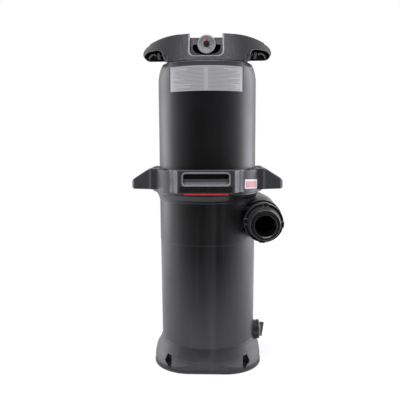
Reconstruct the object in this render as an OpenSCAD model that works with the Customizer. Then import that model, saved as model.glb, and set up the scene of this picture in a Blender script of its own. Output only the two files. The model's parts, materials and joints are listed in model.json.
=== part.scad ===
// Cartridge pool filter. Millimetres. Origin on the tank axis at the foot plane, +Z up, front at -Y,
// port manifold at +X.

/* [Tank] */
// Outside diameter of the tank and of the head
tank_d = 300; // [280:1:330]
// Wall thickness of the tank halves
wall = 7; // [5:0.5:9]
// Height of the joint face between tank and head
joint_z = 575; // [560:1:600]
// Height of the shoulder of the head
shoulder_z = 865; // [840:1:900]

/* [Foot] */
// Width of the foot across the front
foot_w = 330; // [320:1:360]
// Depth of the foot from front to back
foot_d = 324; // [314:1:350]
// Corner radius of the foot
foot_r = 112; // [90:1:130]
// Distance between the bolt holes across the front
bolt_x = 236; // [232:1:240]
// Distance between the bolt holes from front to back
bolt_y = 240; // [236:1:244]
// Diameter of the four bolt holes
bolt_d = 11; // [8:0.5:14]

/* [Locking ring] */
// Distance between the tips of the side lugs
ring_w = 461; // [440:1:490]
// Height of the lower edge of the ring
ring_z = 538; // [534:1:542]
// Width of the front lug
lug_w = 156; // [130:1:170]

/* [Ports] */
// Height of the port axis
port_z = 455; // [420:1:460]
// Distance from the tank axis to the port axis
port_x = 166; // [164:1:172]
// Diameter of the 2 in pipe socket
socket_d = 60.5; // [56:0.1:62]
// Distance from the tank axis plane to the mouth of each tailpiece
mouth_y = 205; // [200:1:220]

/* [Gauge] */
// Diameter of the gauge case
gauge_d = 53.6; // [48:0.2:55]
// Height of the gauge axis
gauge_z = 974; // [972:1:976]

/* [Cartridge] */
// Outside diameter of the pleated media
media_d = 236; // [220:1:240]
// Outside diameter of the core inside the pleats
core_d = 102; // [90:1:110]
// Number of pleats
pleats = 44; // [30:1:52]

/* [Drain] */
// Height of the drain axis
drain_z = 79; // [76:1:90]
// Diameter of the drain cap
drain_d = 61; // [54:1:64]

/* [Fits] */
// Gap between pieces that are seated
seat = 0.3; // [0.2:0.05:0.4]
// Gap of turning and sliding pieces
run = 0.4; // [0.3:0.05:0.6]

/* [Hidden] */
R = tank_d / 2;
ri = R - wall;
neck_r = R + 10;
boss_x = R + 8.5;
flange_top = joint_z + 16;
lip_top = flange_top + 15;
media_bottom = 108;
media_top = shoulder_z - 15;
core_r = core_d / 2;
duct_end = ri - 25;
strainer_r = 5.8;
dome_z = shoulder_z + 58;
hz = dome_z - 923;
$fn = 96;

module rod_y(r, y0, y1) {
    translate([0, y0, 0]) rotate([-90, 0, 0]) cylinder(r = r, h = y1 - y0);
}

module rod_x(r, x0, x1) {
    translate([x0, 0, 0]) rotate([0, 90, 0]) cylinder(r = r, h = x1 - x0);
}

module box(x0, x1, y0, y1, z0, z1) {
    translate([x0, y0, z0]) cube([x1 - x0, y1 - y0, z1 - z0]);
}

module four() {
    for (sx = [-1, 1]) for (sy = [-1, 1]) scale([1, 1, 1]) translate([sx * bolt_x / 2, sy * bolt_y / 2, 0])
        children();
}

module ring_of(r, t) {
    rotate_extrude() translate([r, 0]) circle(r = t, $fn = 24);
}

// Lower tank: one moulding with foot, port manifold and drain boss
module foot_plan(grow) {
    square([foot_w - 2 * foot_r, foot_d + 2 * grow], center = true);
    square([foot_w + 2 * grow, foot_d - 2 * foot_r], center = true);
    for (sx = [-1, 1]) for (sy = [-1, 1])
        translate([sx * (foot_w / 2 - foot_r), sy * (foot_d / 2 - foot_r)]) circle(r = foot_r + grow);
}

module foot() {
    linear_extrude(7) foot_plan(1.5);
    intersection() {
        linear_extrude(80) foot_plan(0);
        rotate([0, 0, 40]) rotate_extrude() polygon([[0, 0], [R + 60, 0], [R + 60, 12], [R + 36, 14], [R + 27, 21],
            [R + 20, 28], [R + 14, 36], [R + 10, 43], [R + 5, 53], [R + 1, 62], [R - 2.3, 72],
            [0, 72]]);
    }
}

module tank_outer() {
    rotate([0, 0, 40]) rotate_extrude() polygon([[0, 10], [R - 2.5, 10], [R - 0.9, 386], [R, 387], [R, 510], [R + 1.6, 512],
        [R + 2.4, 518], [R + 7, 527], [neck_r, 533], [neck_r, joint_z], [0, joint_z]]);
}

module tank_cavity() {
    rotate([0, 0, 40]) rotate_extrude() polygon([[0, 30], [ri - 26, 30], [ri - 8, 40], [ri - 2, 58], [ri, 380], [ri, 516], [R, 528],
        [R, joint_z + 1], [0, joint_z + 1]]);
}

module manifold_outer() {
    translate([port_x, 0, port_z]) {
        rod_y(60, -90, 90);
        rod_y(48, -mouth_y + 79, mouth_y - 79);
    }
    for (s = [-1, 1]) for (m = [0, 1]) mirror([0, m, 0])
        translate([0, 0, port_z + s * 36 - 3]) linear_extrude(6)
            polygon([[80, -126], [103, -112.5], [118, -106], [port_x, -88], [port_x, -40], [100, -60]]);
}

module manifold_passages() {
    for (m = [0, 1]) mirror([0, m, 0]) {
        translate([port_x, 0, port_z]) {
            rod_y(30, -mouth_y + 78, -10);
            translate([0, -mouth_y + 79, 0]) rotate([-90, 0, 0]) difference() {
                translate([0, 0, -1]) cylinder(r = 40.5, h = 5.2);
                translate([0, 0, -2]) cylinder(r = 35.5, h = 8);
            }
        }
        translate([0, -45, port_z]) rod_x(26, 110, port_x);
    }
}

module tank_body() color([0.09, 0.09, 0.1]) {
    difference() {
        union() {
            tank_outer();
            foot();
            manifold_outer();
            translate([0, 0, drain_z]) rod_x(drain_d / 2 - 1, R - 12, boss_x);
        }
        tank_cavity();
        manifold_passages();
        translate([0, 0, -1]) cylinder(r = R - 26, h = 21);
        four() translate([0, 0, -1]) cylinder(d = bolt_d, h = 40);
        for (sx = [0, 1]) for (sy = [0, 1]) mirror([sx, 0, 0]) mirror([0, sy, 0])
            translate([bolt_x / 2, bolt_y / 2, 10]) linear_extrude(60)
                polygon([[-5, -18], [1, -18], [12, -4], [9, 4], [-3, 27], [-11, 27], [-9, 0]]);
        translate([0, 0, drain_z]) rod_x(17 + run, R - 20, boss_x + 1);
    }
}

// Upper tank half with flange, spigot, label apron and bosses for the handle screws
module head_outer(g) {
    rotate_extrude() polygon([[0, joint_z + 8], [R + g, joint_z + 8], [R + g, shoulder_z + g],
        [R - 0.4 + g, shoulder_z + 11 + g], [R - 2.7 + g, shoulder_z + 27 + g],
        [R - 6.8 + g, shoulder_z + 42 + g], [R - 12.5 + g, shoulder_z + 54 + g],
        [R - 19 + g, dome_z - 1 + g], [R - 30, dome_z + g], [0, dome_z + g]]);
}

module head_cavity() {
    rotate_extrude() polygon([[0, joint_z - 30], [ri - 1, joint_z - 30], [ri - 1, shoulder_z - 2],
        [ri - 3, shoulder_z + 20], [ri - 8, shoulder_z + 34], [ri - 18, shoulder_z + 44],
        [ri - 30, dome_z - 10], [0, dome_z - 9]]);
}

module screw_places() {
    for (sx = [-1, 1]) for (sy = [-1, 1]) translate([sx * 80, sy * 80, 0]) children();
}

module tank_head() color([0.09, 0.09, 0.1]) {
    difference() {
        union() {
            head_outer(0);
            translate([0, 0, joint_z + seat]) cylinder(r = R + 8, h = flange_top - joint_z - seat);
            translate([0, 0, joint_z - 20]) cylinder(r = R - run, h = 30);
            intersection() {
                translate([0, 0, shoulder_z - 27]) cylinder(r = R + 0.6, h = 77);
                box(-108, 108, -R - 5, -R + 48, shoulder_z - 40, shoulder_z + 60);
            }
        }
        difference() {
            head_cavity();
            screw_places() translate([0, 0, dome_z - 34]) cylinder(r = 10, h = 40);
        }
        screw_places() translate([0, 0, dome_z - 26]) cylinder(r = 4 + seat, h = 40);
        translate([0, 0, joint_z - 14]) rotate_extrude() translate([R - 6.4, 0]) square([8, 8]);
        translate([0, -54, dome_z - 30]) cylinder(r = 6.8, h = 40);
        translate([0, 88, dome_z - 30]) cylinder(r = 8.8, h = 40);
    }
}

module body_o_ring() color([0.04, 0.04, 0.04]) translate([0, 0, joint_z - 10]) ring_of(R - 3.3, 2.8);

// Locking ring: hoop, front and rear blocks, side lugs
module lug_plan() {
    h = lug_w / 2;
    polygon(concat([for (q = [[30, 20], [22, -1], [15, -8], [11, -16], [8, -25], [4, -32], [0, -35]])
        [-h - q[0], -R + q[1]]], [for (q = [[0, -35], [4, -32], [8, -25], [11, -16], [15, -8], [22, -1],
        [30, 20]]) [h + q[0], -R + q[1]]]));
}

module side_lug() {
    t = ring_w / 2;
    intersection() {
        translate([0, 100, 0]) rotate([90, 0, 0]) linear_extrude(200)
            polygon([[120, 546], [t - 6, 546], [t, 550], [t, 571], [t - 3, 575], [182, 604], [174, 609],
                [120, 609]]);
        translate([0, 0, 530]) linear_extrude(90)
            polygon([[120, -84], [168, -82], [176, -76], [t - 8, -64], [t, -56], [t, 56], [t - 8, 64],
                [176, 76], [168, 82], [120, 84]]);
    }
}

module side_pocket() {
    t = ring_w / 2;
    intersection() {
        translate([0, 100, 0]) rotate([90, 0, 0]) linear_extrude(200)
            polygon([[R + 29, 540], [t - 7, 540], [t - 7, 564], [R + 34, 594], [R + 29, 594]]);
        for (y = [-30, 30]) box(R + 20, t, y - 26, y + 26, 530, 600);
    }
}

module locking_ring() color([0.1, 0.1, 0.11]) {
    difference() {
        union() {
            translate([0, 0, ring_z]) cylinder(r = R + 22, h = lip_top - ring_z);
            for (m = [0, 1]) mirror([0, m, 0]) translate([0, 0, 544]) linear_extrude(lip_top + 4 - 544)
                lug_plan();
            for (m = [0, 1]) mirror([m, 0, 0]) side_lug();
            for (m = [0, 1]) mirror([0, m, 0]) translate([-60, 0, 0]) rotate([90, 0, 90]) linear_extrude(120)
                polygon([[-R - 30, 566], [-R - 37, 569], [-R - 39.5, 573], [-R - 39.5, 583], [-R - 38, 585],
                    [-R - 30, 585]]);
        }
        translate([0, 0, ring_z - 1]) cylinder(r = neck_r + 1.2, h = flange_top + seat - ring_z + 1);
        translate([0, 0, ring_z]) cylinder(r = R + 2, h = 100);
        for (m = [0, 1]) mirror([0, m, 0]) {
            translate([0, -R - 36, 593.5]) rotate([-90, 0, 0]) {
                cylinder(r = 8.5, h = 14);
                for (s = [-1, 1]) translate([s * 58, 0, 0]) cylinder(r = 8.5, h = 14);
            }
            box(-58, 58, -R - 36, -R - 22, 585, 602);
            box(-lug_w / 2 + 2, lug_w / 2 - 2, -R - 36, -R - 33, 540, 565);
        }
        for (m = [0, 1]) mirror([m, 0, 0]) side_pocket();
        for (a = [0, 180]) rotate([0, 0, a]) for (y = [-44, -15, 15, 44])
            box(R + 5, R + 17, y - 11, y + 11, lip_top - 7, lip_top + 10);
        box(-63 - run, 63 + run, -R - 28 - run, -R - 24 + run, 530, 572);
        box(-62 - run, 62 + run, -R - 30 - run, -R - 24, 530, 550.2);
    }
}

module lock_tab() color([0.75, 0.05, 0.05]) {
    box(-63, 63, -R - 28, -R - 24, 539.5, 558);
    box(-62, 62, -R - 30, -R - 24, 539.5, 543.6);
}

module lock_tab_springs() color([0.6, 0.6, 0.62]) {
    for (s = [-1, 1]) translate([s * 40, -R - 24.4, 558 + seat]) rotate([90, 0, 0]) linear_extrude(3.2)
        polygon([[-14, 0], [-13, 0], [-7, 11.8], [-6, 12.6], [-5, 11.8], [0, 1.6], [5, 11.8], [6, 12.6],
            [7, 11.8], [13, 0], [14, 0], [7.6, 12.8], [6, 13.4], [4.4, 12.8], [0, 3.6], [-4.4, 12.8],
            [-6, 13.4], [-7.6, 12.8]]);
}

// Top handle: one moulding over the dome with two wing grips and a notch for the gauge
module handle_side() {
    intersection() {
        union() {
            translate([0, 934]) square([173, 90]);
            translate([173, 956]) circle(r = 22);
            square([112, 1000]);
        }
        union() {
            square([80, 998]);
            intersection() {
                translate([80, 708]) circle(r = 290, $fn = 200);
                square([300, 1100]);
            }
        }
    }
}

module handle_front() {
    translate([0, 0, hz]) rotate([90, 0, 0]) translate([0, 0, -170]) linear_extrude(340) {
        handle_side();
        mirror([1, 0]) handle_side();
    }
}

module lens(g) {
    intersection_for(s = [-1, 1]) translate([0, s * 95, 915 + hz])
        cylinder(r1 = 246 - g, r2 = 199 - g, h = 85);
}

module wing_pocket() {
    intersection() {
        lens(6);
        translate([0, 0, -9]) handle_front();
        for (m = [0, 1]) mirror([0, m, 0]) for (s = [0, 1]) mirror([s, 0, 0])
            box(132, 189, 5, 150, 890, 1100);
    }
    for (m = [0, 1]) mirror([0, m, 0]) for (s = [0, 1]) mirror([s, 0, 0]) {
        for (x = [147, 169]) translate([x, 0, 936]) rod_y(20, 12, 150);
        box(147, 169, 12, 150, 920, 956);
    }
}

module top_handle() color([0.11, 0.11, 0.12]) {
    difference() {
        intersection() {
            handle_front();
            lens(0);
        }
        head_outer(seat + 0.1);
        intersection() {
            cylinder(r = R + 0.9, h = 1200);
            box(-109, 109, -R - 5, -R + 50, 800, shoulder_z + 50.4);
        }
        translate([0, 0, hz]) {
            wing_pocket();
            for (s = [0, 1]) mirror([s, 0, 0]) box(56, 112, -60, 60, 900, 980);
            notch();
            rear_notch();
        }
        screw_places() {
            cylinder(r = 4.6, h = 1200);
            translate([0, 0, 955 + hz]) cylinder(r = 9, h = 100);
        }
    }
}

module notch() {
    intersection() {
        translate([0, -160, 0]) rotate([-90, 0, 0]) mirror([0, 1, 0]) linear_extrude(124) {
            translate([-48, 944]) square([96, 100]);
            translate([-32, 928]) square([64, 100]);
            for (s = [-1, 1]) translate([s * 32, 944]) circle(r = 16);
        }
        union() {
            translate([0, -143, 1041.75]) rod_x(113.75, -50, 50);
            box(-50, 50, -170, -143, 900, 1100);
            box(-50, 50, -170, -30, 1000, 1100);
        }
    }
    translate([0, -50, 936]) cylinder(r = 41, h = 38);
    translate([0, -160, 974]) rod_y(28.3, 0, 122);
    translate([0, -54, 900]) cylinder(r = 13, h = 60);
}

module rear_notch() {
    translate([0, 88, 900]) cylinder(r = 26, h = 200);
    box(-26, 26, 88, 180, 945, 1100);
}

module handle_screws() color([0.7, 0.7, 0.72]) screw_places() translate([0, 0, hz]) {
    translate([0, 0, 955 + seat]) difference() {
        cylinder(r = 7, h = 6);
        translate([0, 0, 3]) cylinder(r = 3.2, h = 4, $fn = 6);
    }
    translate([0, 0, 900]) cylinder(r = 4, h = 56);
}

// Pressure gauge on a bottom stem
module at_gauge() {
    translate([0, -54, gauge_z]) children();
}

module gauge_case() color([0.55, 0.55, 0.6]) at_gauge() difference() {
    union() {
        rod_y(gauge_d / 2, -12, -4);
        rod_y(gauge_d / 2 - 1.2, -4, 12);
    }
    rod_y(gauge_d / 2 - 3.2, -13, 9.5);
    translate([0, 0, -30]) cylinder(r = 5.6, h = 15);
}

module gauge_dial() color([0.9, 0.9, 0.9]) at_gauge() rod_y(gauge_d / 2 - 3.5, 5.5, 6.7);

module gauge_needle() color([0.05, 0.05, 0.05]) at_gauge() rotate([0, 135, 0]) {
    rod_y(2.2, 2.2, 5.2);
    box(-0.7, 0.7, 2.6, 3.6, -7, 19);
}

module gauge_lens() color([0.8, 0.85, 0.9, 0.4]) at_gauge() difference() {
    rod_y(gauge_d / 2 - 3.5, -8.5, -6.5);
    rod_y(2.5, -9, -6);
}

module gauge_stem() color([0.72, 0.58, 0.3]) translate([0, -54, 0]) {
    translate([0, 0, dome_z - 17]) cylinder(r = 6.5, h = 24);
    translate([0, 0, dome_z + seat]) cylinder(r = 8.1, h = 12, $fn = 6);
    translate([0, 0, dome_z + 2]) cylinder(r = 5.3, h = gauge_z - gauge_d / 2 + 2.6 - dome_z - 2);
}

module marker_knob() color([0.03, 0.03, 0.03]) at_gauge() {
    rod_y(9.2, -16, -11.4);
    rod_y(2.1, -12, -4.5);
}

module marker_arm() {
    difference() {
        union() {
            rod_y(6, -11.1, -10.1);
            box(-1.2, 1.2, -11.1, -10.1, 0, 18);
        }
        rod_y(2.4, -12, -9);
    }
}

module marker_red_arm() color([0.85, 0.08, 0.1]) at_gauge() marker_arm();

module marker_green_arm() color([0.05, 0.6, 0.4]) at_gauge() rotate([0, -45, 0])
    translate([0, 1.3, 0]) marker_arm();

// Manual air relief in a recess at the back of the handle
module air_relief_body() color([0.15, 0.15, 0.16]) translate([0, 88, dome_z]) difference() {
    union() {
        translate([0, 0, -18]) cylinder(r = 8.5, h = 20);
        translate([0, 0, seat]) cylinder(r = 15, h = 10, $fn = 6);
        translate([0, 0, 2]) cylinder(r = 11, h = 18);
    }
    translate([0, 0, -19]) cylinder(r = 2.5, h = 60);
    translate([0, 0, 10]) cylinder(r = 5 + run, h = 60);
    translate([0, 0, 15]) rotate([0, 0, 90]) rod_x(1.6, 0, 20);
    difference() {
        translate([0, 0, 0.1]) cylinder(r = 12.4, h = 2.5);
        cylinder(r = 9.6, h = 4);
    }
}

module air_relief_knob() color([0.1, 0.1, 0.1]) translate([0, 88, dome_z]) {
    translate([0, 0, 11]) cylinder(r = 5, h = 24);
    translate([0, 0, 20.4]) cylinder(r = 14, h = 8);
    box(-20, 20, -3.5, 3.5, 28, 40);
}

module air_relief_o_ring() color([0.04, 0.04, 0.04]) translate([0, 88, dome_z + 1.2]) ring_of(11, 1);

// Cartridge: pleated media between two caps, on a perforated core
module star(a, b) {
    polygon([for (i = [0:2 * pleats - 1]) let (r = i % 2 == 0 ? a : b, t = i * 180 / pleats)
        [r * cos(t), r * sin(t)]]);
}

module filter_media() color([0.92, 0.93, 0.95]) translate([0, 0, media_bottom + seat])
    linear_extrude(media_top - media_bottom - 2 * seat) difference() {
        star(media_d / 2, core_r + 15);
        star(media_d / 2 - 9, core_r + 6);
    }

module cap_hole(z0, r) {
    translate([0, 0, z0 - 1]) cylinder(r = r, h = 40);
}

module cartridge_top_cap() color([0.2, 0.35, 0.6]) difference() {
    union() {
        translate([0, 0, media_top]) cylinder(d = media_d + 4, h = 14);
        translate([0, 0, media_top - 14]) cylinder(r = core_r - 5, h = 20);
        for (a = [0, 90]) rotate([0, 0, a])
            box(18 - media_d / 2, media_d / 2 - 18, -3, 3, media_top + 10, media_top + 22);
    }
    cap_hole(media_top - 15, strainer_r + run);
}

module cartridge_bottom_cap() color([0.2, 0.35, 0.6]) difference() {
    union() {
        translate([0, 0, media_bottom - 14]) cylinder(d = media_d + 4, h = 14);
        translate([0, 0, media_bottom - 8]) cylinder(r = core_r - 5, h = 22);
    }
    cap_hole(media_bottom - 14, 28 + run);
}

module cartridge_core() color([0.85, 0.86, 0.88]) difference() {
    translate([0, 0, media_bottom + seat]) cylinder(r = core_r, h = media_top - media_bottom - 2 * seat);
    translate([0, 0, media_bottom - 8]) cylinder(r = core_r - 4, h = media_top - media_bottom + 18);
    for (z = [media_bottom + 22:90:media_top - 90]) for (a = [0, 60, 120]) rotate([0, 0, a]) box(-60, 60, -9, 9, z, z + 64);
}

// Outlet duct: receiver under the cartridge, floor channel and flat riser to the rear port
module duct_solid(g) {
    translate([0, 0, 30 + seat + g]) cylinder(r = 42 - g, h = 64 - 2 * seat - 2 * g);
    box(0, duct_end - g, 30 + g, 60 - g, 42 + g, 84 - g);
    intersection() {
        difference() {
            cylinder(r = ri - 4 - g, h = joint_z);
            translate([0, 0, -1]) cylinder(r = ri - 19 + g, h = joint_z + 2);
        }
        box(60, R, 16 + g, 74 - g, 60 + g, port_z + 45 - g);
    }
}

module outlet_duct() color([0.3, 0.3, 0.32]) difference() {
    union() {
        duct_solid(0);
        translate([0, 0, 80]) cylinder(r = 28, h = 34);
        intersection() {
            translate([0, 45, port_z]) rod_x(28, ri - 20, ri + 10);
            cylinder(r = ri - seat, h = joint_z);
        }
    }
    duct_solid(2.5);
    box(0, duct_end - 8, 33, 57, 45, 81);
    translate([0, 0, 86]) cylinder(r = 25, h = 40);
    translate([0, 45, port_z]) rod_x(24, ri - 16, ri + 20);
    translate([0, 0, 28]) cylinder(r = 4 + seat, h = 9);
}

module air_bleed_tube() color([0.8, 0.8, 0.78]) difference() {
    translate([0, 0, 33 + seat]) cylinder(r = 4, h = dome_z - 61);
    translate([0, 0, 40]) cylinder(r = 2.5, h = dome_z);
    translate([0, 0, 60]) rod_x(1.5, -10, 10);
}

module bleed_strainer() color([0.25, 0.4, 0.65]) translate([0, 0, dome_z]) difference() {
    translate([0, 0, -37]) cylinder(r = strainer_r, h = 27.4);
    translate([0, 0, -38]) cylinder(r = 4 + seat, h = 26);
    for (a = [0, 90]) rotate([0, 0, a]) box(-12, 12, -1, 1, -24, -14);
}

module inlet_diffuser() color([0.3, 0.3, 0.32]) mirror([0, 1, 0]) difference() {
    intersection() {
        difference() {
            cylinder(r = ri - seat, h = 600);
            translate([0, 0, -1]) cylinder(r = ri - 13, h = 700);
        }
        box(60, 200, 14, 76, port_z - 40, port_z + 40);
    }
    intersection() {
        difference() {
            cylinder(r = ri + 9, h = 600);
            translate([0, 0, -1]) cylinder(r = ri - 10.5, h = 700);
        }
        box(60, 200, 17, 73, port_z - 60, port_z + 37);
    }
}

// Unions: tailpiece with 2 in socket, nut with cone and hoop, face seal
module at_port(m) {
    mirror([0, m, 0]) translate([port_x, -mouth_y + 91, port_z]) rotate([90, 0, 0]) children();
}

module tailpiece() difference() {
    union() {
        translate([0, 0, 12 + seat]) cylinder(r = 47.6, h = 7.8);
        translate([0, 0, 12 + seat]) cylinder(r = 38.3, h = 79 - seat);
    }
    translate([0, 0, 11]) cylinder(r = 27, h = 90);
    translate([0, 0, 51]) cylinder(d = socket_d, h = 50);
    translate([0, 0, 88]) cylinder(r1 = socket_d / 2, r2 = socket_d / 2 + 3.2, h = 3.2);
}

module union_nut() difference() {
    union() {
        rotate_extrude() polygon([[48 + run, 0], [54, 0], [57, 4], [57, 34], [53.8, 34], [53.8, 14],
            [52.6, 14], [52, 20], [43.2, 77], [42, 78], [38.3 + 2 * run, 78], [38.3 + 2 * run, 20.5],
            [48 + run, 20.5]]);
        for (a = [0:90:270]) rotate([0, 0, a - 5]) box(45, 58.5, -9, 9, 8, 36);
    }
    for (a = [0:90:270]) rotate([0, 0, a - 5]) box(50, 56, -6, 6, 28, 40);
    translate([0, 0, -1]) cylinder(r = 48 + run, h = 21.5);
    translate([0, 0, -1]) cylinder(r = 38.3 + 2 * run, h = 90);
}

module front_tailpiece() color([0.08, 0.08, 0.08]) at_port(0) tailpiece();
module rear_tailpiece() color([0.08, 0.08, 0.08]) at_port(1) tailpiece();
module front_union_nut() color([0.08, 0.08, 0.08]) at_port(0) union_nut();
module rear_union_nut() color([0.08, 0.08, 0.08]) at_port(1) union_nut();
module front_union_o_ring() color([0.03, 0.03, 0.03]) at_port(0) translate([0, 0, 9.9]) ring_of(38, 1.7);
module rear_union_o_ring() color([0.03, 0.03, 0.03]) at_port(1) translate([0, 0, 9.9]) ring_of(38, 1.7);

// Drain plug with wing
module drain_plug() color([0.08, 0.08, 0.08]) translate([boss_x, 0, drain_z]) difference() {
    union() {
        rod_x(17, -16, 2);
        rod_x(drain_d / 2, seat, 7);
        translate([7, 0, 0]) rotate([0, 90, 0]) cylinder(r1 = drain_d / 2, r2 = 22, h = 5);
        translate([16.5, 0, 0]) rotate([0, 8, 0]) box(-6, 4.5, -4.5, 4.5, -23, 23);
    }
    translate([21, 0, -15]) rod_y(3, -8, 8);
    difference() {
        rod_x(22.6, 0.1, 3);
        rod_x(19.4, 0, 4);
    }
}

module drain_o_ring() color([0.03, 0.03, 0.03]) translate([boss_x + 1.5, 0, drain_z]) rotate([0, 90, 0])
    ring_of(21, 1.2);

tank_body();
tank_head();
body_o_ring();
locking_ring();
lock_tab();
lock_tab_springs();
top_handle();
handle_screws();
gauge_case();
gauge_dial();
gauge_needle();
gauge_lens();
gauge_stem();
marker_knob();
marker_green_arm();
marker_red_arm();
air_relief_body();
air_relief_knob();
air_relief_o_ring();
filter_media();
cartridge_top_cap();
cartridge_bottom_cap();
cartridge_core();
outlet_duct();
air_bleed_tube();
bleed_strainer();
inlet_diffuser();
front_tailpiece();
front_union_nut();
front_union_o_ring();
rear_tailpiece();
rear_union_nut();
rear_union_o_ring();
drain_plug();
drain_o_ring();
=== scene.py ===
import json
import math

import bpy
from mathutils import Matrix, Vector

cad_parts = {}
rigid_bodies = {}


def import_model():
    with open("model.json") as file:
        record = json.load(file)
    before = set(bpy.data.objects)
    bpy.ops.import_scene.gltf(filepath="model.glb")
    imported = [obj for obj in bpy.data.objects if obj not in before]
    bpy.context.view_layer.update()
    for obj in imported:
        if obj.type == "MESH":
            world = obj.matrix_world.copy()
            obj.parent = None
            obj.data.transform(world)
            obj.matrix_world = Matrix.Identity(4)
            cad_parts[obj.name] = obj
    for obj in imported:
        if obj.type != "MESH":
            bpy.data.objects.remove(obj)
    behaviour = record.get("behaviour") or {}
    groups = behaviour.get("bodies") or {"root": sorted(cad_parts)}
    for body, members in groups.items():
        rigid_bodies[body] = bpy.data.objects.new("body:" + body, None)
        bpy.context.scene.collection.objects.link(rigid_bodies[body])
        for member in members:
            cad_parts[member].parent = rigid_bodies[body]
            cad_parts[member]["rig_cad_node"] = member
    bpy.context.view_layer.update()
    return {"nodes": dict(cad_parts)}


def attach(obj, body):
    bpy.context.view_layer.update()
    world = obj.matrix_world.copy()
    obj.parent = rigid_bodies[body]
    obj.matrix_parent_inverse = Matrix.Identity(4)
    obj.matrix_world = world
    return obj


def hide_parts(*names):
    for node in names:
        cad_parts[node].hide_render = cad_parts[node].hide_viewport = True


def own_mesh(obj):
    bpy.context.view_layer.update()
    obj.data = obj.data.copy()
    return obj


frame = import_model()
nodes = frame["nodes"]

# Lower tank. One black moulding with the foot, the port manifold and the drain boss on it. Its face
# is satin with faint flow marks, streaked by hand and water, and lighter grey towards the ground.


def node(tree, kind, sockets=None, **settings):
    """Adds a node; sockets gives each socket a number, a colour or a link from another node."""
    made = tree.nodes.new(kind)
    for name, value in settings.items():
        setattr(made, name, value)
    for name, value in (sockets or {}).items():
        if isinstance(value, bpy.types.NodeSocket):
            tree.links.new(value, made.inputs[name])
        else:
            made.inputs[name].default_value = value
    return made


def maths(tree, kind, *values, clamp=False):
    return node(tree, "ShaderNodeMath", dict(enumerate(values)), operation=kind, use_clamp=clamp).outputs[0]


def spread(tree, value, low, high, start=0.0, end=1.0):
    """Maps low to high onto start to end, and holds it there beyond them."""
    sockets = {"Value": value, "From Min": low, "From Max": high, "To Min": start, "To Max": end}
    return node(tree, "ShaderNodeMapRange", sockets).outputs[0]


def blend(tree, share, under, over):
    mix = node(tree, "ShaderNodeMix", {"Factor": share, "A": under, "B": over}, data_type="RGBA")
    return mix.outputs["Result"]


def new_group(name, given, result):
    """A shader group with its sockets, each given as a name and Color, Float or Vector."""
    group = bpy.data.node_groups.new(name, "ShaderNodeTree")
    for way, sockets in (("INPUT", given), ("OUTPUT", result)):
        for socket, kind in sockets:
            group.interface.new_socket(socket, in_out=way, socket_type="NodeSocket" + kind)
    return group, node(group, "NodeGroupInput").outputs


def edge_group():
    """Rubs convex edges through to a second colour, in specks: partly wear and partly a painted highlight along the
    edges.
    """
    wanted = (("Colour", "Color"), ("Worn colour", "Color"), ("Width", "Float"))
    group, given = new_group("worn edges", wanted, [("Result", "Color")])
    rounded = node(group, "ShaderNodeBevel", {"Radius": given["Width"]}, samples=4).outputs[0]
    flat = node(group, "ShaderNodeNewGeometry").outputs["Normal"]
    turned = node(group, "ShaderNodeVectorMath", {0: rounded, 1: flat}, operation="DOT_PRODUCT")
    place = node(group, "ShaderNodeTexCoord").outputs["Object"]
    speck = node(group, "ShaderNodeTexNoise", {"Vector": place, "Scale": 60}).outputs["Fac"]
    worn = maths(group, "MULTIPLY", spread(group, turned.outputs["Value"], 0.995, 0.86), speck)
    node(group, "NodeGroupOutput", {"Result": blend(group, worn, given["Colour"], given["Worn colour"])})
    return group


def grain_group():
    """The fine leather grain of a mould, over the slow waves where the plastic flowed."""
    wanted = [(socket, "Float") for socket in ("Fine size", "Fine depth", "Flow size", "Flow depth")]
    group, given = new_group("moulded grain", wanted, (("Normal", "Vector"), ("Flow", "Float")))
    place = node(group, "ShaderNodeTexCoord").outputs["Object"]
    fine = node(group, "ShaderNodeTexNoise", {"Vector": place, "Scale": given["Fine size"]})
    cells = node(group, "ShaderNodeTexVoronoi", {"Vector": place, "Scale": given["Fine size"]})
    slow = {"Vector": place, "Scale": given["Flow size"], "Detail": 3}
    flow = node(group, "ShaderNodeTexNoise", slow).outputs["Fac"]
    pores = maths(group, "ADD", fine.outputs["Fac"], cells.outputs["Distance"])
    wave_height, pore_height = 0.004, 0.0008
    wavy = {"Distance": wave_height, "Strength": given["Flow depth"], "Height": flow}
    wavy = node(group, "ShaderNodeBump", wavy).outputs[0]
    grained = {"Distance": pore_height, "Strength": given["Fine depth"], "Height": pores, "Normal": wavy}
    grained = node(group, "ShaderNodeBump", grained).outputs[0]
    node(group, "NodeGroupOutput", {"Normal": grained, "Flow": flow})
    return group


def marks_group():
    """Streaks down the wall, a lighter tone that fades out with height, and a lighter tone on all that faces up."""
    wanted = (("Colour", "Color"), ("Streak colour", "Color"), ("Lightening height", "Float"), ("Rough", "Float"))
    group, given = new_group("streaks and lightening", wanted, (("Colour", "Color"), ("Rough", "Float")))
    place = node(group, "ShaderNodeTexCoord").outputs["Object"]
    long = node(group, "ShaderNodeMapping", {"Vector": place, "Scale": (26, 26, 1.3)}).outputs[0]
    streak = node(group, "ShaderNodeTexNoise", {"Vector": long, "Scale": 1.0, "Detail": 4}).outputs["Fac"]
    height = node(group, "ShaderNodeSeparateXYZ", {0: place}).outputs["Z"]
    facing = node(group, "ShaderNodeNewGeometry").outputs["Normal"]
    upward = node(group, "ShaderNodeSeparateXYZ", {0: facing}).outputs["Z"]
    streaks = spread(group, streak, 0.5, 0.75, 0.0, 0.45)
    lighter_low = spread(group, height, 0.0, given["Lightening height"], 0.5, 0.0)
    lighter_up = spread(group, upward, 0.25, 0.95, 0.0, 0.9)
    wall = maths(group, "ADD", streaks, lighter_low, clamp=True)
    every = maths(group, "ADD", lighter_up, wall, clamp=True)
    rough = maths(group, "MULTIPLY_ADD", wall, 0.12, given["Rough"])
    colour = blend(group, every, given["Colour"], given["Streak colour"])
    node(group, "NodeGroupOutput", {"Colour": colour, "Rough": rough})
    return group


edge_wear_and_sheen, moulded_grain, streaks_and_lightening = edge_group(), grain_group(), marks_group()
edge_width = 0.0012


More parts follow.
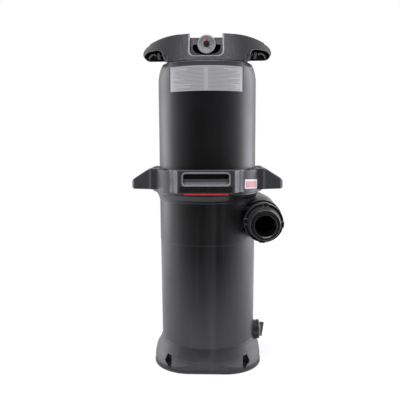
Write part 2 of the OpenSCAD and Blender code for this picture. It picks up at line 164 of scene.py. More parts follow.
def moulding(name, colour, rough=(0.36, 0.5), grain=(900, 0.1), flow=(9, 0.08), worn=0.5, gloss=0.5, **fixed):
    """A moulded or turned finish; grain and flow are a size and a depth, worn is the wear of its edges and the painted
    highlight on them.
    """
    mat = bpy.data.materials.new(name)
    mat.use_nodes = True
    mat.diffuse_color = (*colour, 1)
    tree = mat.node_tree
    shader = tree.nodes["Principled BSDF"].inputs
    sizes = dict(zip(("Fine size", "Fine depth", "Flow size", "Flow depth"), (*grain, *flow)))
    skin = node(tree, "ShaderNodeGroup", sizes, node_tree=moulded_grain).outputs
    dark, pale, rubbed_and_sheen = zip(*[(c * 0.82, min(1, c * 1.2), c + (0.6 - c) * worn) for c in colour])
    tone = blend(tree, skin["Flow"], (*dark, 1), (*pale, 1))
    edge = {"Colour": tone, "Worn colour": (*rubbed_and_sheen, 1), "Width": edge_width}
    edge = node(tree, "ShaderNodeGroup", edge, node_tree=edge_wear_and_sheen).outputs["Result"]
    tree.links.new(edge, shader["Base Color"])
    tree.links.new(spread(tree, skin["Flow"], 0.3, 0.7, *rough), shader["Roughness"])
    tree.links.new(skin["Normal"], shader["Normal"])
    shader["Specular IOR Level"].default_value = gloss
    for socket, value in fixed.items():
        shader[socket.replace("_", " ")].default_value = value
    return mat


def streak_and_lighten(mat, colour, height):
    """Marks a moulding with streaks of this colour, and lightens it towards this colour up to this height and on all
    that faces up.
    """
    tree = mat.node_tree
    shader = tree.nodes["Principled BSDF"].inputs
    clean = {"Colour": shader["Base Color"].links[0].from_socket, "Rough": shader["Roughness"].links[0].from_socket}
    marks = {**clean, "Streak colour": (*colour, 1), "Lightening height": height}
    marks = node(tree, "ShaderNodeGroup", marks, node_tree=streaks_and_lightening).outputs
    tree.links.new(marks["Colour"], shader["Base Color"])
    tree.links.new(marks["Rough"], shader["Roughness"])


def dress(mat, *names):
    """Gives CAD nodes, left as they are, a material of the scene."""
    for name in names:
        mesh = nodes[name].data
        mesh.materials.clear()
        mesh.materials.append(mat)


tank_r = 0.15
tank_black = dict(colour=(0.0045, 0.0045, 0.0055), rough=(0.34, 0.44), grain=(700, 0.03), flow=(7, 0.05), worn=0.1)
tank_skin = moulding("tank black", **tank_black)
streak_and_lighten(tank_skin, colour=(0.034, 0.033, 0.034), height=0.35)
dress(tank_skin, "tank_body")

# Witness lines of the tank. The mould's parting line, the two faint hoops on the foot and the short
# ribs between them, all proud by less than a millimetre.


def alone(*pieces):
    """Selects these pieces and nothing else; the first becomes the active one."""
    bpy.ops.object.select_all(action="DESELECT")
    for piece in pieces:
        piece.select_set(True)
    if pieces:
        bpy.context.view_layer.objects.active = pieces[0]


def finish(piece, body, mat, replaces=()):
    """Gives a new piece its material, the body that carries it and the nodes that it stands for."""
    piece.data.materials.clear()
    piece.data.materials.append(mat)
    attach(piece, body)
    if replaces:
        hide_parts(*replaces)
    return piece


def bead(name, points, radius, closed=False):
    """A round bead of plastic along these points."""
    path = bpy.data.curves.new(name, "CURVE")
    path.dimensions = "3D"
    path.bevel_depth, path.bevel_resolution, path.use_fill_caps = radius, 3, not closed
    line = path.splines.new("POLY")
    line.points.add(len(points) - 1)
    for point, place in zip(line.points, points):
        point.co = (*place, 1)
    line.use_cyclic_u = closed
    piece = bpy.data.objects.new(name, path)
    bpy.context.scene.collection.objects.link(piece)
    alone(piece)
    bpy.ops.object.convert(target="MESH")
    bpy.ops.object.shade_smooth_by_angle(angle=math.radians(50))
    return bpy.context.object


def joined(name, pieces):
    """Makes like small pieces one piece under one name."""
    alone(*pieces)
    bpy.ops.object.join()
    pieces[0].name = name
    return pieces[0]


def round_tank(radius, degrees, height):
    """A point round the tank's axis, from 0 degrees in front towards the right."""
    t = math.radians(degrees)
    return (radius * math.sin(t), -radius * math.cos(t), height)


skirt = [(0.16, 0.043), (0.155, 0.053), (0.151, 0.062), (0.1477, 0.072)]
hoop_r, rib_r, rib_sink = 0.0012, 0.0013, 0.0011
for name, radius, height in (
    ("parting_line", tank_r - 0.0016, 0.3866),
    ("foot_hoop_upper", tank_r - 0.0025, 0.0695),
    ("foot_hoop_lower", tank_r + 0.0082, 0.0445),
):
    hoop = bead(name, [round_tank(radius, 3 * k, height) for k in range(120)], hoop_r, closed=True)
    finish(hoop, "tank", tank_skin)
ribs = []
for degrees in (-61, -30, -13, 13, 37, 60, 150, 170, 190, 210):
    ribs.append(bead("rib", [round_tank(r - rib_sink, degrees, z) for r, z in skirt], rib_r))
finish(joined("foot_ribs", ribs), "tank", tank_skin)

# Bolt pocket roofs. The moulded skirt closes over each bolt pocket of the foot, so that only a
# low triangular mouth stays open in front of the bolt.
corners = ((-1, -1), (1, -1), (-1, 1), (1, 1))
slope = [(0.1625, 0.0395)] + skirt
roof_start, roof_span, roof_wall, roof_sink = 34, 17.5, 0.0035, 0.0003
for k, (sx, sy) in enumerate(corners):
    alone()
    bpy.ops.mesh.primitive_grid_add(x_subdivisions=14, y_subdivisions=len(slope) - 1, size=1, location=(0, 0, 0))
    roof = bpy.context.object
    roof.name = "bolt_pocket_roof_%d" % k
    for vert in roof.data.vertices:
        t = math.radians(roof_start + roof_span * (vert.co.x + 0.5))
        r, z = slope[round((vert.co.y + 0.5) * (len(slope) - 1))]
        vert.co = (sx * (r - roof_sink) * math.sin(t), sy * (r - roof_sink) * math.cos(t), z)
    bpy.ops.object.mode_set(mode="EDIT")
    bpy.ops.mesh.select_all(action="SELECT")
    bpy.ops.mesh.normals_make_consistent(inside=False)
    bpy.ops.object.mode_set(mode="OBJECT")
    outward = roof.data.polygons[0].normal.dot(Vector((sx, sy, 0))) > 0
    wall = roof.modifiers.new("wall", "SOLIDIFY")
    wall.thickness, wall.offset = roof_wall, -1 if outward else 1
    bpy.ops.object.modifier_apply(modifier="wall")
    bpy.ops.object.shade_smooth_by_angle(angle=math.radians(40))
    finish(roof, "tank", tank_skin)

# Outlet duct, inlet baffle, bleed tube and its strainer. Plain grey, white and blue mouldings that
# hang in the tank, clipped to the floor and to the wall behind the ports.
duct_skin = moulding("duct grey", (0.2, 0.2, 0.21), rough=(0.45, 0.6))
white_skin = moulding("tube white", (0.78, 0.78, 0.76), rough=(0.4, 0.5), worn=0.1)
blue_skin = moulding("strainer blue", (0.1, 0.22, 0.48), rough=(0.4, 0.55), worn=0.2)
dress(duct_skin, "outlet_duct", "inlet_diffuser")
dress(white_skin, "air_bleed_tube")
dress(blue_skin, "bleed_strainer")

# Cartridge. Pleated polyester round a slotted core, with both ends potted into urethane caps. The
# lower cap sits on the standpipe.
media_skin = moulding("pleated polyester", (0.82, 0.83, 0.85), rough=(0.8, 0.92), grain=(1600, 0.5), worn=0.0)
dress(media_skin, "filter_media")
dress(white_skin, "cartridge_core")
dress(blue_skin, "cartridge_top_cap", "cartridge_bottom_cap")

# Seals. Moulded black nitrile rings, lightly greased, which lie in the grooves of the tank, the
# unions, the drain plug and the air relief valve.
seal_skin = moulding("nitrile", (0.016, 0.016, 0.016), rough=(0.25, 0.4), worn=0.05)
dress(seal_skin, "body_o_ring", "front_union_o_ring", "rear_union_o_ring", "drain_o_ring", "air_relief_o_ring")

# Head. The upper tank half, moulded in the same black, with a flat apron in front for the label. It
# stands too high for the lighter tone near the ground.
head_skin = moulding("head black", **tank_black)
streak_and_lighten(head_skin, colour=(0.008, 0.008, 0.009), height=0.001)
dress(head_skin, "tank_head")

# Label plate. A thin satin polyester label wrapped on the apron of the head: a dark band along its
# top, and a grey field with two columns of fine rules. It carries no words.


def wrapped_strip(name, radius, half_angle, low, high, thick, steps, centre=0.0):
    """A film round the tank's axis; centre is its middle in degrees towards the right."""
    alone()
    bpy.ops.mesh.primitive_plane_add(size=1, location=(0, 0, 0))
    piece = bpy.context.object
    piece.name = name
    bpy.ops.object.mode_set(mode="EDIT")
    bpy.ops.mesh.select_all(action="SELECT")
    bpy.ops.transform.resize(value=(thick, high - low, 1))
    bpy.ops.object.mode_set(mode="OBJECT")
    piece.data.transform(Matrix.Rotation(math.radians(90), 4, "X"))
    piece.data.transform(Matrix.Translation((radius + thick / 2, 0, (low + high) / 2)))
    piece.data.transform(Matrix.Rotation(math.radians(-90 + centre) + half_angle, 4, "Z"))
    bpy.ops.object.mode_set(mode="EDIT")
    bpy.ops.mesh.select_all(action="SELECT")
    bpy.ops.mesh.spin(steps=steps, angle=2 * half_angle, center=(0, 0, 0), axis=(0, 0, 1))
    bpy.ops.mesh.select_all(action="SELECT")
    bpy.ops.mesh.remove_doubles(threshold=0.00001)
    bpy.ops.mesh.normals_make_consistent(inside=False)
    bpy.ops.object.mode_set(mode="OBJECT")
    bpy.ops.object.shade_smooth_by_angle(angle=math.radians(30))
    return piece


def ruled_print(mat, paper, ink, low, high):
    """Prints two columns of fine rules with ragged ends, between two heights."""
    pitch, stroke, gutter, column, ragged, cover = 0.0036, 0.0013, 0.006, 0.097, 0.06, 0.75
    tree = mat.node_tree
    place = node(tree, "ShaderNodeTexCoord").outputs["Object"]
    x, _, z = node(tree, "ShaderNodeSeparateXYZ", {0: place}).outputs
    side, above = maths(tree, "ABSOLUTE", x), maths(tree, "SUBTRACT", z, low)
    row = maths(tree, "FLOOR", maths(tree, "DIVIDE", above, pitch))
    cell = node(tree, "ShaderNodeCombineXYZ", {0: row, 1: maths(tree, "SIGN", x)}).outputs[0]
    chance = node(tree, "ShaderNodeTexWhiteNoise", {"Vector": cell}, noise_dimensions="2D").outputs["Value"]
    reach = maths(tree, "SUBTRACT", column, maths(tree, "MULTIPLY", maths(tree, "POWER", chance, 3.0), ragged))
    mask = maths(tree, "LESS_THAN", maths(tree, "MODULO", above, pitch), stroke)
    for kind, value, limit in (
        ("LESS_THAN", side, reach),
        ("GREATER_THAN", side, gutter),
        ("GREATER_THAN", z, low),
        ("LESS_THAN", z, high),
    ):
        mask = maths(tree, "MULTIPLY", mask, maths(tree, kind, value, limit))
    colour = blend(tree, maths(tree, "MULTIPLY", mask, cover), (*paper, 1), (*ink, 1))
    tree.links.new(colour, tree.nodes["Principled BSDF"].inputs["Base Color"])


label_skin = moulding("label film", (0.37, 0.37, 0.38), rough=(0.34, 0.42), grain=(900, 0.02), worn=0.0)
ruled_print(label_skin, paper=(0.36, 0.36, 0.37), ink=(0.11, 0.11, 0.115), low=0.8352, high=0.8975)
band_skin = moulding("label band", (0.045, 0.047, 0.06), rough=(0.3, 0.38), grain=(900, 0.02), worn=0.0)
edge_skin = moulding("label edge", (0.6, 0.6, 0.62), rough=(0.3, 0.4), worn=0.0)
apron_r = 0.15062
for name, half_width, low, high, thick, slot, mat in (
    ("label_field", 0.1035, 0.832, 0.9015, 0.00018, "gauge_case_grey", label_skin),
    ("label_band", 0.1052, 0.9018, 0.9142, 0.00018, "duct_grey", band_skin),
    ("label_edge_line", 0.1052, 0.9142, 0.9148, 0.00022, "gauge_case_grey", edge_skin),
):
    strip = wrapped_strip(name, apron_r, math.asin(half_width / apron_r), low, high, thick, steps=40)
    finish(strip, "head", mat)

# Locking ring. A glass-filled moulding with a fine leather grain, that turns to draw the halves
# together. Its finger slots have sloped trays, and the red tab under its front lug locks it.


def merged_copy(name, ending):
    """A copy of a CAD node, with its loose triangles merged."""
    alone(nodes[name])
    bpy.ops.object.duplicate()
    piece = bpy.context.object
    piece.name = name + ending
    del piece["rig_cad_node"]
    bpy.ops.object.mode_set(mode="EDIT")
    bpy.ops.mesh.select_all(action="SELECT")
    bpy.ops.mesh.remove_doubles(threshold=0.00003)
    bpy.ops.object.mode_set(mode="OBJECT")
    return piece


def prism(name, outline, axis, low, high):
    """A closed bar of the given outline, drawn in the plane across axis and extruded along it."""
    alone()
    bpy.ops.mesh.primitive_circle_add(vertices=len(outline), radius=1, fill_type="NGON", location=(0, 0, 0))
    piece = bpy.context.object
    piece.name = name
    for vert, (a, b) in zip(piece.data.vertices, outline):
        vert.co = {"X": (low, a, b), "Y": (a, low, b), "Z": (a, b, low)}[axis]
    bpy.ops.object.mode_set(mode="EDIT")
    bpy.ops.mesh.select_all(action="SELECT")
    along = {"X": (high - low, 0, 0), "Y": (0, high - low, 0), "Z": (0, 0, high - low)}[axis]
    bpy.ops.mesh.extrude_region_move(TRANSFORM_OT_translate={"value": along})
    bpy.ops.mesh.select_all(action="SELECT")
    bpy.ops.mesh.normals_make_consistent(inside=False)
    bpy.ops.object.mode_set(mode="OBJECT")
    return piece


def cut_out(piece, tool):
    """Takes the tool's shape out of the piece, and the tool away."""
    alone(piece)
    cut = piece.modifiers.new("cut", "BOOLEAN")
    cut.operation, cut.object, cut.solver = "DIFFERENCE", tool, "EXACT"
    bpy.ops.object.modifier_apply(modifier="cut")
    bpy.data.objects.remove(tool)


def remoulded(name, body, mat, voxel, passes, keep, cut=(), add=()):
    """The node with moulded, rounded edges: cut, filled, then given a new evened and thinned skin."""
    piece = merged_copy(name, "_moulding")
    for tool in cut:
        cut_out(piece, tool)
    alone(piece, *add)
    if add:
        bpy.ops.object.join()
    skin = piece.modifiers.new("skin", "REMESH")
    skin.mode, skin.voxel_size = "VOXEL", voxel
    even = piece.modifiers.new("even", "SMOOTH")
    even.factor, even.iterations = 0.5, passes
    thin = piece.modifiers.new("thin", "DECIMATE")
    thin.ratio = keep
    for step in ("skin", "even", "thin"):
        bpy.ops.object.modifier_apply(modifier=step)
    bpy.ops.object.shade_smooth_by_angle(angle=math.radians(50))
    return finish(piece, body, mat, replaces=[name])


def paint_over(mat, mask, colour):
    """Lays one colour over the material's own wherever the mask is 1."""
    tree = mat.node_tree
    base = tree.nodes["Principled BSDF"].inputs["Base Color"]
    tree.links.new(blend(tree, mask, base.links[0].from_socket, (*colour, 1)), base)


def paint_shade_inside(mat, colour, middle, reach):
    """Paints shade into a material inside a box, given by the middle and half sizes of |x|, |y| and z."""
    tree = mat.node_tree
    place = node(tree, "ShaderNodeTexCoord").outputs["Object"]
    sides = node(tree, "ShaderNodeSeparateXYZ", {0: place}).outputs
    x, y, z = (maths(tree, "COMPARE", maths(tree, "ABSOLUTE", side), at, half)
               for side, at, half in zip(sides, middle, reach))
    paint_over(mat, maths(tree, "MULTIPLY", maths(tree, "MULTIPLY", x, y), z), colour)


grip_skin = moulding("grained grip", (0.034, 0.033, 0.037), rough=(0.34, 0.5), grain=(330, 0.16),
                     flow=(125, 0.085), worn=0.2, gloss=0.42)
# Painted shade: the inside of each finger slot, front and rear, is darkened to near black.
paint_shade_inside(grip_skin, (0.006, 0.006, 0.006), middle=(0, tank_r + 0.016, 0.5945), reach=(0.067, 0.0165, 0.0085))

# Each outline's points are the distance beyond the tank's wall, and the height.
tray_cut = ((0.0295, 0.5862), (0.0435, 0.5862), (0.0435, 0.5698), (0.0408, 0.5698), (0.0366, 0.5728), (0.0335, 0.5768))
tray_foot = ((0.034, 0.5665), (0.034, 0.5762), (0.0366, 0.5728), (0.0408, 0.5698), (0.0412, 0.5684), (0.0395, 0.5665))
panel_cut = ((0.0325, 0.5455), (0.038, 0.5455), (0.038, 0.5655), (0.0325, 0.5655))
tab_room = ((0.0226, 0.5385), (0.0293, 0.5385), (0.0293, 0.568), (0.0226, 0.568))
lip_room = ((0.0226, 0.5385), (0.031, 0.5385), (0.031, 0.5522), (0.0226, 0.5522))


def ring_bar(outline, side, half):
    """A bar across the front (-1) or the rear (1) of the ring, from -half to half."""
    return prism("bar", [(side * (tank_r + d), z) for d, z in outline], "X", -half, half)


cutters, wedges = [ring_bar(tab_room, -1, 0.066), ring_bar(lip_room, -1, 0.065)], []
slot_half, panel_half = 0.0605, 0.0765
for s in (-1, 1):
    cutters += [ring_bar(panel_cut, s, panel_half), ring_bar(tray_cut, s, slot_half)]
    wedges.append(ring_bar(tray_foot, s, slot_half))
remoulded("locking_ring", "ring", grip_skin, voxel=0.0017, passes=4, keep=0.4, cut=cutters, add=wedges)

# Lock tab and its springs. A bright red tab that is pushed up into the ring, against two stainless
# springs.
red_skin = moulding("signal red", (0.62, 0.02, 0.03), rough=(0.25, 0.35), worn=0.15)
steel_skin = moulding("stainless", (0.6, 0.6, 0.62), rough=(0.22, 0.34), worn=0.1, Metallic=1.0)
dress(red_skin, "lock_tab")
dress(steel_skin, "lock_tab_springs")
springs = merged_copy("lock_tab_springs", "_pressed")
finish(springs, "ring", steel_skin, replaces=["lock_tab_springs"])
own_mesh(springs)

# Lips and treads of the ring. A polished lip, pale grey as a painted highlight, runs round each finger
# slot and under its tray, and the slope of each side lug carries round treads for the hand.
lip_highlight_skin = moulding("lip with painted highlight", (0.17, 0.17, 0.18), rough=(0.16, 0.24), grain=(900, 0.02), worn=0.3)


def corner(x, z, radius, start, depth, far):
    """Five points of a quarter turn, clockwise from start; the depth runs from depth to far."""
    turn = [math.radians(start - 22.5 * k) for k in range(5)]
    return [(x + radius * math.cos(t), depth + (far - depth) * k / 4, z + radius * math.sin(t))
            for k, t in enumerate(turn)]


lip_depth, tray_depth = 0.0338, 0.0402
half_lip = corner(0.058, 0.5935, 0.0088, 90, lip_depth, lip_depth)
half_lip += corner(0.0596, 0.5749, 0.0072, 0, lip_depth, tray_depth)
for s, face in ((-1, "front"), (1, "rear")):
    loop = half_lip + [(-x, d, z) for x, d, z in reversed(half_lip)]
    lip = bead(face + "_slot_lip", [(x, s * (tank_r + d), z) for x, d, z in loop], 0.0025, closed=True)
    finish(lip, "ring", lip_highlight_skin)
lug_foot, lug_head = (0.2275, 0.575), (0.182, 0.604)
for s, side in ((-1, "left"), (1, "right")):
    treads = []
    for k in range(7):
        part = (k + 0.6) / 7.2
        x, z = (foot + (head - foot) * part for foot, head in zip(lug_foot, lug_head))
        wide = 0.052 + 0.014 * part
        treads.append(bead("tread", [(s * x, y, z - 0.0002) for y in (-wide, wide)], 0.0013))
    finish(joined(side + "_lug_treads", treads), "ring", grip_skin)

# Stippled panels. Under each finger slot the ring carries a coarse stippled field, sunk between 2
# and 3 mm into the block and moulded with it.
stipple_skin = moulding("stippled grip", (0.012, 0.012, 0.013), rough=(0.2, 0.34), grain=(500, 0.2), worn=0.3)
stipple = bpy.data.textures.new("stipple", "CLOUDS")
stipple.noise_scale = 0.0022
for s, face in ((-1, "front"), (1, "rear")):
    alone()
    bpy.ops.mesh.primitive_grid_add(x_subdivisions=150, y_subdivisions=22, size=1, location=(0, 0, 0))
    panel = bpy.context.object
    panel.name = face + "_stippled_panel"
    bpy.ops.object.mode_set(mode="EDIT")
    bpy.ops.mesh.select_all(action="SELECT")
    bpy.ops.transform.resize(value=(0.15, 0.0185, 1))
    bpy.ops.object.mode_set(mode="OBJECT")
    upright = Matrix.Rotation(math.radians(90 * -s), 4, "X")
    panel.data.transform(Matrix.Translation((0, s * (tank_r + 0.0333), 0.5555)) @ upright)
    bumps = panel.modifiers.new("bumps", "DISPLACE")
    bumps.texture, bumps.texture_coords = stipple, "LOCAL"
    bumps.strength, bumps.mid_level = 0.0022, 0.4
    wall = panel.modifiers.new("wall", "SOLIDIFY")
    wall.thickness, wall.offset = 0.0012, -1
    bpy.ops.object.modifier_apply(modifier="bumps")
    bpy.ops.object.modifier_apply(modifier="wall")
    bpy.ops.object.shade_smooth_by_angle(angle=math.radians(60))
    finish(panel, "ring", stipple_skin)

# Ring sticker. A small printed film on the right front face of the ring: a white ground with a
# plain pink field, stuck on a little askew.
paper_skin = moulding("sticker white", (0.66, 0.66, 0.67), rough=(0.35, 0.45), worn=0.0)
pink_skin = moulding("sticker pink", (0.55, 0.27, 0.29), rough=(0.35, 0.45), worn=0.0)
ring_r, sticker_z, askew = 0.17202, 0.564, -3
for name, half, low, high, centre, thick, mat in (
    ("ring_sticker", 10.6, 0.5515, 0.5785, 51.0, 0.00016, paper_skin),
    ("ring_sticker_field", 8.6, 0.555, 0.574, 50.2, 0.00026, pink_skin),
):
    piece = wrapped_strip(name, ring_r, math.radians(half), low, high, thick, 12, centre)
    tilt = Matrix.Rotation(math.radians(askew), 4, round_tank(1, centre, 0))
    hub = Vector(round_tank(ring_r, centre, sticker_z))
    piece.data.transform(Matrix.Translation(hub) @ tilt @ Matrix.Translation(-hub))
    finish(piece, "ring", mat)

# Top handle. A grained moulding with two wings, set on the bosses of the head by four stainless
# screws. Black plugs close the screw holes.
handle_skin = moulding("grained handle", (0.011, 0.011, 0.012), rough=(0.3, 0.46), grain=(360, 0.16),
                       flow=(115, 0.12), worn=0.16, gloss=0.26)
plugs = []
for sx, sy in corners:
    alone()
    bpy.ops.mesh.primitive_cylinder_add(vertices=24, radius=0.0096, depth=0.018,
                                        location=(sx * 0.08, sy * 0.08, 0.9889))
    bpy.ops.object.transform_apply(location=True)
    plugs.append(bpy.context.object)
remoulded("top_handle", "head", handle_skin, voxel=0.0014, passes=6, keep=0.36, add=plugs)
dress(steel_skin, "handle_screws")

# Notch lip and grip linings. A polished lip runs down and under the notch of the gauge, and linings
# and posts stand in the hollows of the four finger grips. Their pale grey is a painted highlight.
lining_highlight_skin = moulding("lining with painted highlight", (0.26, 0.26, 0.27), rough=(0.25, 0.35), worn=0.6)


def handle_face(x, z, proud=0.0):
    """Where the sloped round front of the handle lies, at this place across and up."""
    reach = 0.246 - (z - 0.915) * 47 / 85
    return 0.095 - math.sqrt(reach * reach - x * x) - proud


notch_half, notch_bend, notch_floor = 0.0488, 0.0168, 0.9437
half = [(-notch_half, 0.9965), (-notch_half, 0.975), (-notch_half, 0.955)]
for degrees in range(180, 271, 15):
    t = math.radians(degrees)
    half.append((notch_bend - notch_half + notch_bend * math.cos(t), notch_floor + notch_bend * math.sin(t)))
half += [(-0.02, notch_floor - notch_bend), (-0.008, notch_floor - notch_bend)]
outline = half + [(-x, z) for x, z in reversed(half)]
lip = bead("notch_lip", [(x, handle_face(x, z, -0.001), z) for x, z in outline], 0.0026)
finish(lip, "head", lip_highlight_skin)


def lined(path, wall=0.0027, height=0.938):
    """The path and, closing it, the same path a wall's thickness nearer the middle of its foot."""
    foot = (sum(x for x, _ in path) / len(path), height)
    inner = []
    for x, z in path:
        away = math.dist(foot, (x, z))
        inner.append((x + wall * (foot[0] - x) / away, z + wall * (foot[1] - z) / away))
    return path + inner[::-1]


hook = [(0.1545, 0.9515), (0.159, 0.9535), (0.165, 0.9535), (0.1715, 0.95), (0.1755, 0.9455), (0.177, 0.9405)]
slant = [(0.139, 0.9525), (0.1345, 0.9475), (0.129, 0.9405), (0.125, 0.9375)]
post = [(0.1415, 0.939), (0.1495, 0.939), (0.1515, 0.955), (0.1435, 0.956)]
webs, posts = [], []
for sx, sy in corners:
    for path in (hook, slant):
        webs.append(prism("web", [(sx * x, z) for x, z in lined(path)], "Y", sy * 0.0075, sy * 0.022))
    posts.append(prism("post", [(sx * x, z) for x, z in post], "Y", sy * 0.012, sy * 0.022))
finish(joined("grip_linings", webs), "head", lining_highlight_skin)
finish(joined("grip_posts", posts), "head", lip_highlight_skin)

# Pressure gauge. An enamelled steel case, screwed in by a brass bottom stem, with a printed dial
# and an acrylic lens. Its bore is painted pale: painted light that bounces onto the dial. The clean
# and dirty marker turns on the lens.
gauge_centre = Vector((0, -0.054, 0.974))
case_bore = 0.02385
case_skin = moulding("gauge enamel", (0.42, 0.41, 0.46), rough=(0.25, 0.35), worn=0.3)
dial_skin = moulding("dial white", (0.92, 0.92, 0.92), rough=(0.5, 0.6), worn=0.0)
ink_skin = moulding("dial black", (0.02, 0.02, 0.02), rough=(0.35, 0.5), worn=0.1)
brass_skin = moulding("turned brass", (0.62, 0.42, 0.16), rough=(0.25, 0.4), worn=0.2, Metallic=1.0)
green_skin = moulding("marker green", (0.02, 0.4, 0.25), rough=(0.3, 0.4), worn=0.1)
glass_skin = moulding("clear acrylic", (0.95, 0.96, 0.97), rough=(0.02, 0.05), grain=(300, 0.0), worn=0.0,
                      Transmission_Weight=1.0, IOR=1.49)

# Painted light: the bore of the case is painted near white, so that it lights the dial by bounce.
tree = case_skin.node_tree
centred = {"Vector": node(tree, "ShaderNodeTexCoord").outputs["Object"], "Scale": (1, 0, 1)}
centred["Location"] = (0, 0, -gauge_centre.z)
centred = node(tree, "ShaderNodeMapping", centred).outputs[0]
away = node(tree, "ShaderNodeVectorMath", {0: centred}, operation="LENGTH").outputs["Value"]
paint_over(case_skin, maths(tree, "LESS_THAN", away, case_bore), (0.85, 0.85, 0.86))

tree = glass_skin.node_tree
shadow = node(tree, "ShaderNodeLightPath").outputs["Is Shadow Ray"]
tree.links.new(maths(tree, "SUBTRACT", 1.0, shadow), tree.nodes["Principled BSDF"].inputs["Alpha"])

dress(case_skin, "gauge_case")
dress(dial_skin, "gauge_dial")
dress(ink_skin, "gauge_needle", "marker_knob")
dress(glass_skin, "gauge_lens")
dress(brass_skin, "gauge_stem")
dress(green_skin, "marker_green_arm")
dress(red_skin, "marker_red_arm")

# Dial print. Black strokes round the scale, plain numbers and a thin red arc, silk-screened on the
# enamelled dial just under the needle.
dial_face = gauge_centre.y + 0.0054
scale_start, scale_end = -135, 135


def on_dial(radius, degrees):
    t = math.radians(degrees)
    return (radius * math.sin(t), dial_face, gauge_centre.z + radius * math.cos(t))


strokes, numbers = [], []
for k in range(31):
    degrees = scale_start + 9 * k
    low, thick = (0.0178, 0.00035) if k % 5 == 0 else (0.0192, 0.0002)
    strokes.append(bead("stroke", [on_dial(low, degrees), on_dial(0.0212, degrees)], thick))
finish(joined("dial_strokes", strokes), "head", ink_skin)
arc = bead("dial_red_arc", [on_dial(0.0158, a) for a in range(scale_start, scale_end + 1, 9)], 0.00035)
finish(arc, "head", red_skin)
for k in range(7):
    alone()
    bpy.ops.object.text_add(location=(0, 0, 0))
    number = bpy.context.object
    number.data.body = str(10 * k)
    number.data.align_x, number.data.align_y = "CENTER", "CENTER"
    number.data.size, number.data.extrude = 0.0038, 0.0001
    bpy.ops.object.convert(target="MESH")
    place = Matrix.Translation(on_dial(0.0128, scale_start + 45 * k))
    bpy.context.object.data.transform(place @ Matrix.Rotation(math.radians(90), 4, "X"))
    numbers.append(bpy.context.object)
finish(joined("dial_numbers", numbers), "head", ink_skin)

# Air relief valve. A small black valve that is screwed into the head, in the recess at the back of
# the handle, with a grained knob.
union_skin = moulding("union black", (0.026, 0.026, 0.027), rough=(0.24, 0.36), grain=(800, 0.04), worn=0.12)
dress(union_skin, "air_relief_body")
dress(grip_skin, "air_relief_knob")

# Unions and drain plug. Black mouldings, glossier than the tank: smooth tailpieces held by ribbed
# nuts, and a plug with a wing in the drain boss.
spigot_skin = moulding("spigot black", (0.008, 0.008, 0.008), rough=(0.24, 0.34), grain=(800, 0.03), worn=0.1)
dress(spigot_skin, "front_tailpiece", "rear_tailpiece")
remoulded("front_union_nut", "front_nut", union_skin, voxel=0.001, passes=4, keep=0.35)
remoulded("rear_union_nut", "rear_nut", union_skin, voxel=0.001, passes=4, keep=0.35)
remoulded("drain_plug", "drain", union_skin, voxel=0.0008, passes=4, keep=0.5)

# Knurls of the drain plug. Short round ribs for a wet hand, all round the cap's edge and moulded
# with it.
cap_r, cap_x, cap_z, knurl_sink, knurl_count = 0.0305, 0.1585, 0.079, 0.0003, 28
knurls = []
for k in range(knurl_count):
    t = 2 * math.pi * k / knurl_count
    y, z = (cap_r - knurl_sink) * math.cos(t), cap_z + (cap_r - knurl_sink) * math.sin(t)
    knurls.append(bead("knurl", [(cap_x + d, y, z) for d in (0.0012, 0.0068)], 0.0008))
finish(joined("drain_knurls", knurls), "drain", union_skin)

# Camera. It stands where the photograph was taken, a little above the ring, and looks slightly down
# at the filter from the front.
eye, pan, tilt, roll = (0.033, -1.58, 0.70), 2.06, 82.93, -0.28
camera = bpy.data.objects.new("camera", bpy.data.cameras.new("camera"))
bpy.context.scene.collection.objects.link(camera)
camera.data.lens = 45
camera.data.sensor_width = 36
aim = Matrix.Identity(4)
for degrees, axis in ((pan, "Z"), (tilt, "X"), (roll, "Z")):
    aim = aim @ Matrix.Rotation(math.radians(degrees), 4, axis)
camera.matrix_world = Matrix.Translation(eye) @ aim
bpy.context.scene.camera = camera

# Studio floor. A pale matt floor that the camera sees as white, and that keeps the soft shadow
# close round the foot.
alone()
bpy.ops.mesh.primitive_plane_add(size=24, location=(0, 0, -0.0006))
floor = bpy.context.object
floor.name = "studio_floor"
bpy.ops.object.mode_set(mode="EDIT")
bpy.ops.mesh.select_all(action="SELECT")
bpy.ops.mesh.bisect(plane_co=(0, -0.62, 0), plane_no=(0, 1, 0), clear_inner=True)
bpy.ops.object.mode_set(mode="OBJECT")
floor_mat = bpy.data.materials.new("studio floor")
floor_mat.use_nodes = True
tree = floor_mat.node_tree
matt = tree.nodes["Principled BSDF"]
matt.inputs["Base Color"].default_value = (0.9, 0.9, 0.9, 1)
matt.inputs["Roughness"].default_value = 0.9
place = node(tree, "ShaderNodeTexCoord").outputs["Object"]
away = node(tree, "ShaderNodeVectorMath", {0: place}, operation="LENGTH").outputs["Value"]
seen = node(tree, "ShaderNodeLightPath").outputs["Is Camera Ray"]
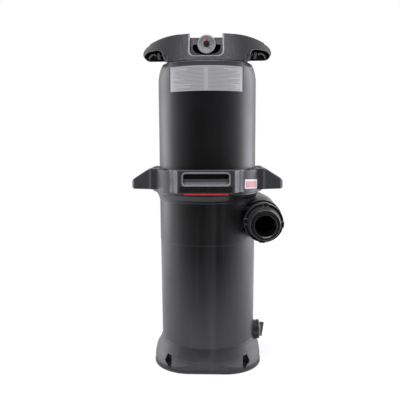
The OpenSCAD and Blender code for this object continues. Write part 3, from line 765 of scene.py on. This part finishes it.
share = maths(tree, "MULTIPLY", seen, spread(tree, away, 0.2, 0.7, 0.72, 1.0))
glow = node(tree, "ShaderNodeEmission", {"Color": (1, 1, 1, 1)}).outputs[0]
white = node(tree, "ShaderNodeMixShader", {0: share, 1: matt.outputs[0], 2: glow}).outputs[0]
tree.links.new(white, tree.nodes["Material Output"].inputs["Surface"])
floor.data.materials.append(floor_mat)

# Studio surround. White to the camera and through the lens, and darker in front of the object, so
# that gloss shows the dim side of the room.
world = bpy.data.worlds.new("studio")
bpy.context.scene.world = world
world.use_nodes = True
tree = world.node_tree
ray = node(tree, "ShaderNodeLightPath").outputs
towards = node(tree, "ShaderNodeTexCoord").outputs["Generated"]
deep = node(tree, "ShaderNodeSeparateXYZ", {0: towards}).outputs["Y"]
room = spread(tree, deep, -0.85, 0.1, 0.02, 1.0)
level = node(tree, "ShaderNodeMix", {"Factor": ray["Is Glossy Ray"], "A": 0.85, "B": room}).outputs["Result"]
white = maths(tree, "ADD", ray["Is Camera Ray"], ray["Is Transmission Ray"], clamp=True)
level = node(tree, "ShaderNodeMix", {"Factor": white, "A": level, "B": 1.0}).outputs["Result"]
back = tree.nodes["Background"].inputs
tree.links.new(level, back["Strength"])
back["Color"].default_value = (1, 1, 1, 1)
bpy.context.scene.view_settings.view_transform = "Standard"

# Softboxes. Two tall ones behind the object, left and right, draw the light edges down its sides,
# and a wide one hangs above it.
for name, place, size, power in (
    ("left softbox", (-2.1, 0.8, 0.9), (1.3, 2.4), 38.16),
    ("right softbox", (2.1, 0.8, 0.9), (1.5, 2.4), 53),
    ("top softbox", (0, -0.6, 2.8), (2.2, 1.4), 53),
):
    lamp = bpy.data.lights.new(name, "AREA")
    lamp.shape = "RECTANGLE"
    lamp.size, lamp.size_y = size
    lamp.energy = power
    lamp.color = (0.92, 0.905, 1.0)
    holder = bpy.data.objects.new(name, lamp)
    bpy.context.scene.collection.objects.link(holder)
    holder.location = place
    holder.rotation_euler = (Vector((0, 0, 0.6)) - Vector(place)).to_track_quat("-Z", "Y").to_euler()
